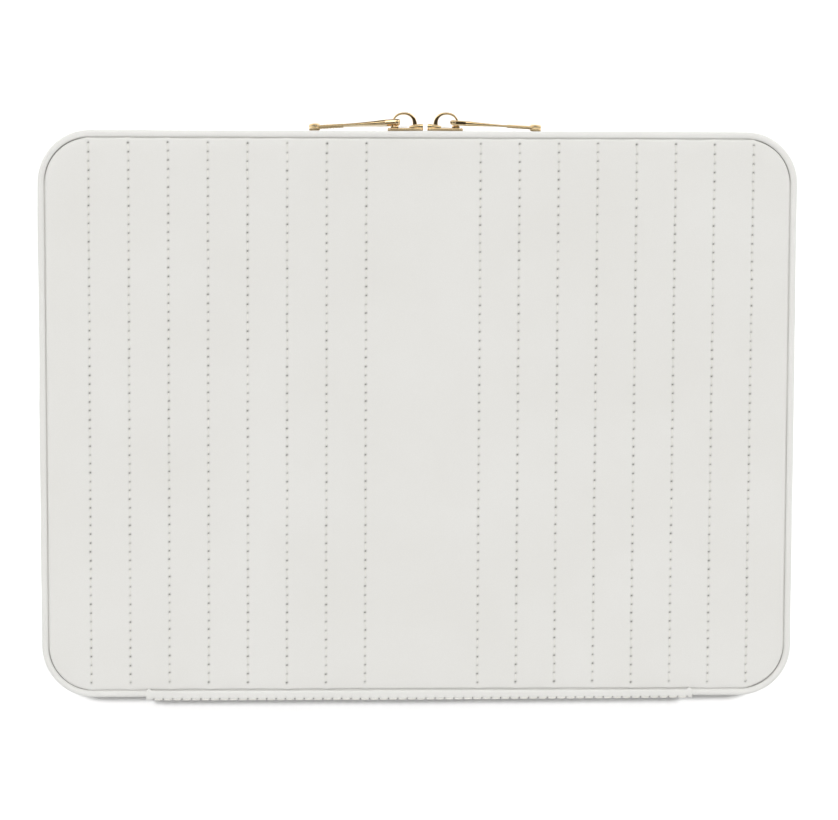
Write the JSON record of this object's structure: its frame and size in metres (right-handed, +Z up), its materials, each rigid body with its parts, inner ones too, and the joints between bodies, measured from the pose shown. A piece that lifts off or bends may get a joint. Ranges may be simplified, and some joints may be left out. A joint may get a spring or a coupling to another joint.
{
  "type": "jewelry box",
  "caption": "Zip-around clamshell jewelry case in ivory leather with quilted covers, a leather spine, two gold zip sliders with long pulls, and suede-lined trays inside.",
  "frame": {"origin": "centre of the case's lower face, which lies on the table when the case lies flat", "axes": "+Z up through the lid, +Y towards the spine, -Y towards the zip's front stretch, +X along the width, to the right of someone who faces the zip"},
  "size_m": [0.2904, 0.2265, 0.044],
  "materials": {
    "ivory_leather": "smooth satin calf, quilted on the covers",
    "tray_board": "pressed board",
    "suede_lining": "brushed micro-suede",
    "suede_padding": "brushed micro-suede over foam",
    "pocket_cloth": "gathered satin-backed suede cloth",
    "zip_tape": "herringbone woven tape",
    "zip_coil": "nylon coil dyed to match the tape",
    "gold_metal": "polished light gold plating"
  },
  "bodies": {
    "base": {"base_panel": "ivory_leather", "base_wall": "ivory_leather", "base_shell": "tray_board", "base_lining": "suede_lining", "base_zip_tape": "zip_tape", "base_zip_coil": "zip_coil", "base_zip_stops": "gold_metal", "spine_strip_lower": "ivory_leather", "cross_divider": "suede_padding", "front_divider": "suede_padding", "small_divider_long": "suede_padding", "small_divider_short": "suede_padding", "rear_divider_left": "suede_padding", "rear_divider_right": "suede_padding", "ring_end_block": "suede_padding", "ring_roll_1": "suede_padding", "ring_roll_2": "suede_padding", "ring_roll_3": "suede_padding", "ring_roll_4": "suede_padding", "ring_roll_5": "suede_padding"},
    "spine": {"spine_band": "ivory_leather", "spine_gusset": "suede_lining"},
    "lid": {"lid_panel": "ivory_leather", "lid_wall": "ivory_leather", "lid_shell": "tray_board", "lid_lining": "suede_lining", "lid_zip_tape": "zip_tape", "lid_zip_coil": "zip_coil", "lid_zip_stops": "gold_metal", "spine_strip_upper": "ivory_leather", "earring_pad": "suede_padding", "earring_rail_1": "suede_padding", "earring_rail_2": "suede_padding", "earring_rail_3": "suede_padding", "earring_rail_4": "suede_padding", "necklace_bar": "suede_padding", "necklace_hook_1": "gold_metal", "necklace_hook_2": "gold_metal", "necklace_hook_3": "gold_metal", "necklace_hook_4": "gold_metal", "necklace_hook_5": "gold_metal", "necklace_hook_6": "gold_metal", "necklace_pocket": "pocket_cloth", "pocket_elastic": "pocket_cloth"},
    "slider_left": {"slider_body_left": "gold_metal", "slider_bail_left": "gold_metal"},
    "pull_left": {"pull_bar_left": "gold_metal", "pull_pin_left": "gold_metal"},
    "slider_right": {"slider_body_right": "gold_metal", "slider_bail_right": "gold_metal"},
    "pull_right": {"pull_bar_right": "gold_metal", "pull_pin_right": "gold_metal"}
  },
  "joints": [
    {"name": "spine_fold", "type": "hinge", "parent": "base", "child": "spine", "pos_m": [0, 0.1096, 0.0168], "axis": [-1, 0, 0], "range_deg": [0, 90]},
    {"name": "lid_fold", "type": "hinge", "parent": "spine", "child": "lid", "pos_m": [0, 0.1096, 0.0272], "axis": [-1, 0, 0], "range_deg": [0, 90]},
    {"name": "slider_left_slide", "type": "slide", "parent": "base", "child": "slider_left", "axis": [-1, 0, 0], "range_m": [0, 0.095]},
    {"name": "slider_right_slide", "type": "slide", "parent": "base", "child": "slider_right", "axis": [1, 0, 0], "range_m": [0, 0.095]},
    {"name": "pull_left_swing", "type": "hinge", "parent": "slider_left", "child": "pull_left", "pos_m": [-0.014, -0.1127, 0.022], "axis": [0, 0, 1], "range_deg": [0, 95]},
    {"name": "pull_right_swing", "type": "hinge", "parent": "slider_right", "child": "pull_right", "pos_m": [0.008, -0.1127, 0.022], "axis": [0, 0, -1], "range_deg": [0, 95]}
  ],
  "couplings": [
    {"joint": "lid_fold", "follows": "spine_fold", "ratio": 1}
  ]
}
